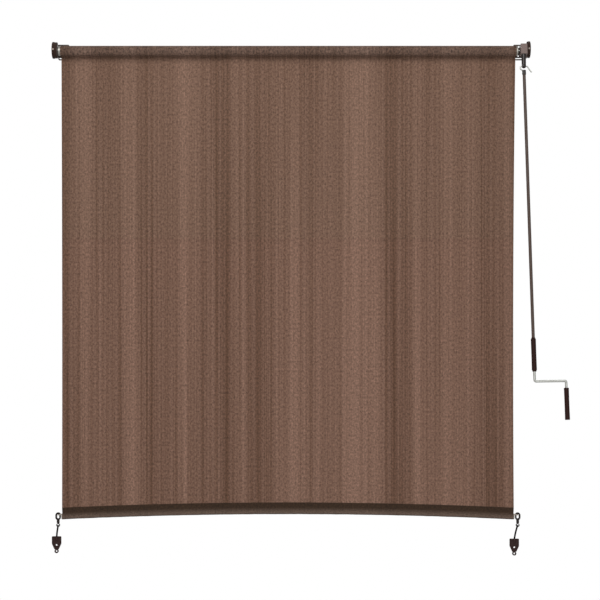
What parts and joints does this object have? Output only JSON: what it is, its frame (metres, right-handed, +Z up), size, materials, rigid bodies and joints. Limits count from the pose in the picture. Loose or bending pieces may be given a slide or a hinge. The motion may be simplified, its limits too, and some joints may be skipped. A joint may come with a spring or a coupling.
{
  "type": "outdoor roller shade",
  "caption": "Outdoor roller shade: knitted cloth on a bracketed roller, worm gear with a hook-on crank pole, bowed bottom rail in a hem, and snap-hook tie-down anchors.",
  "frame": {"origin": "on the wall plane, at the middle of the four bracket screws, level with the roller's axis", "axes": "+X to the viewer's right along the roller, +Y back into the wall, +Z up"},
  "size_m": [1.9462, 0.2501, 1.9642],
  "materials": {
    "bracket_steel": "satin paint",
    "cover_plastic": "matte",
    "bush_plastic": "matte",
    "screw_steel": "zinc plated",
    "housing_cast": "satin paint",
    "tube_steel": "galvanised",
    "gear_metal": "cast, as made",
    "cloth": "knitted",
    "hem_cloth": "knitted, double",
    "rail_aluminium": "mill finish",
    "cap_plastic": "matte",
    "eye_black": "gloss paint",
    "wire_steel": "zinc plated",
    "pole_paint": "gloss paint",
    "grip_plastic": "matte",
    "rod_steel": "zinc plated",
    "snap_metal": "black paint",
    "cord": "braided",
    "tie_plastic": "matte"
  },
  "bodies": {
    "brackets": {"wall_bracket_left": "bracket_steel", "wall_bracket_right": "bracket_steel", "end_cover_left": "cover_plastic", "end_cover_right": "cover_plastic", "cover_screws": "screw_steel", "idler_bush": "bush_plastic", "gear_housing": "housing_cast", "housing_screws": "screw_steel", "worm_bush": "bush_plastic", "shade_cloth": "cloth"},
    "roller": {"roller_tube": "tube_steel", "idler_plug": "bush_plastic", "idler_pin": "screw_steel", "drive_crown": "gear_metal", "crown_screw": "screw_steel", "worm_wheel": "gear_metal", "wound_cloth": "cloth"},
    "eye": {"worm_shaft": "wire_steel", "crank_eye": "eye_black", "eye_pin": "screw_steel"},
    "held_grip": {"upper_grip": "grip_plastic"},
    "crank": {"crank_hook": "wire_steel", "hook_ferrule": "grip_plastic", "crank_pole": "pole_paint", "grip_collars": "grip_plastic", "crank_rod": "rod_steel"},
    "handle": {"handle_grip": "grip_plastic"},
    "rail": {"bottom_rail": "rail_aluminium", "hem_sleeve": "hem_cloth", "rail_cap_left": "cap_plastic", "rail_cap_right": "cap_plastic"},
    "hook_left": {"snap_hook_left": "snap_metal"},
    "gate_left": {"snap_gate_left": "snap_metal"},
    "tie_left": {"swivel_eye_left": "snap_metal", "tie_cord_left": "cord", "tie_bracket_left": "tie_plastic"},
    "hook_right": {"snap_hook_right": "snap_metal"},
    "gate_right": {"snap_gate_right": "snap_metal"},
    "tie_right": {"swivel_eye_right": "snap_metal", "tie_cord_right": "cord", "tie_bracket_right": "tie_plastic"}
  },
  "joints": [
    {"name": "crank_swing", "type": "hinge", "parent": "brackets", "child": "held_grip", "pos_m": [0.8831, -0.07788, -0.06283], "axis": [-1, 0, 0], "range_deg": [-7, 40]},
    {"name": "crank_turn", "type": "hinge", "parent": "held_grip", "child": "crank", "pos_m": [0.8831, -0.07788, -0.06283], "axis": [-0.0164, 0.1219, 0.9924], "range_deg": [0, 47520]},
    {"name": "eye_turn", "type": "hinge", "parent": "brackets", "child": "eye", "pos_m": [0.8831, -0.06984, 0.00268], "axis": [0, 0.1219, 0.9925], "range_deg": [0, 47520]},
    {"name": "roller_turn", "type": "hinge", "parent": "brackets", "child": "roller", "pos_m": [0, -0.048, 0], "axis": [1, 0, 0], "range_deg": [0, 3960]},
    {"name": "rail_lift", "type": "slide", "parent": "brackets", "child": "rail", "axis": [0, 0, 1], "range_m": [0, 1.68], "deforming": ["shade_cloth"]},
    {"name": "handle_turn", "type": "hinge", "parent": "crank", "child": "handle", "pos_m": [1.01915, -0.22667, -1.27466], "axis": [-0.0164, 0.1219, 0.9924], "continuous": true},
    {"name": "hook_swing_left", "type": "hinge", "parent": "rail", "child": "hook_left", "pos_m": [-0.89185, -0.0282, -1.77075], "axis": [0, 1, 0], "range_deg": [-8, 60]},
    {"name": "gate_open_left", "type": "hinge", "parent": "hook_left", "child": "gate_left", "pos_m": [-0.88448, -0.0282, -1.78395], "axis": [0, -1, 0], "range_deg": [0, 30], "stiffness_Nm_per_rad": 0.03, "springref_deg": -17.19},
    {"name": "swivel_spin_left", "type": "hinge", "parent": "hook_left", "child": "tie_left", "pos_m": [-0.89185, -0.0282, -1.77075], "axis": [0, 0, 1], "continuous": true},
    {"name": "hook_swing_right", "type": "hinge", "parent": "rail", "child": "hook_right", "pos_m": [0.86635, -0.0282, -1.77075], "axis": [0, -1, 0], "range_deg": [-8, 60]},
    {"name": "gate_open_right", "type": "hinge", "parent": "hook_right", "child": "gate_right", "pos_m": [0.85898, -0.0282, -1.78395], "axis": [0, 1, 0], "range_deg": [0, 30], "stiffness_Nm_per_rad": 0.03, "springref_deg": -17.19},
    {"name": "swivel_spin_right", "type": "hinge", "parent": "hook_right", "child": "tie_right", "pos_m": [0.86635, -0.0282, -1.77075], "axis": [0, 0, 1], "continuous": true}
  ],
  "couplings": [
    {"joint": "eye_turn", "follows": "crank_turn", "ratio": 1},
    {"joint": "roller_turn", "follows": "crank_turn", "ratio": 0.083333},
    {"joint": "rail_lift", "follows": "crank_turn", "m_per_rad": 0.0020256}
  ]
}
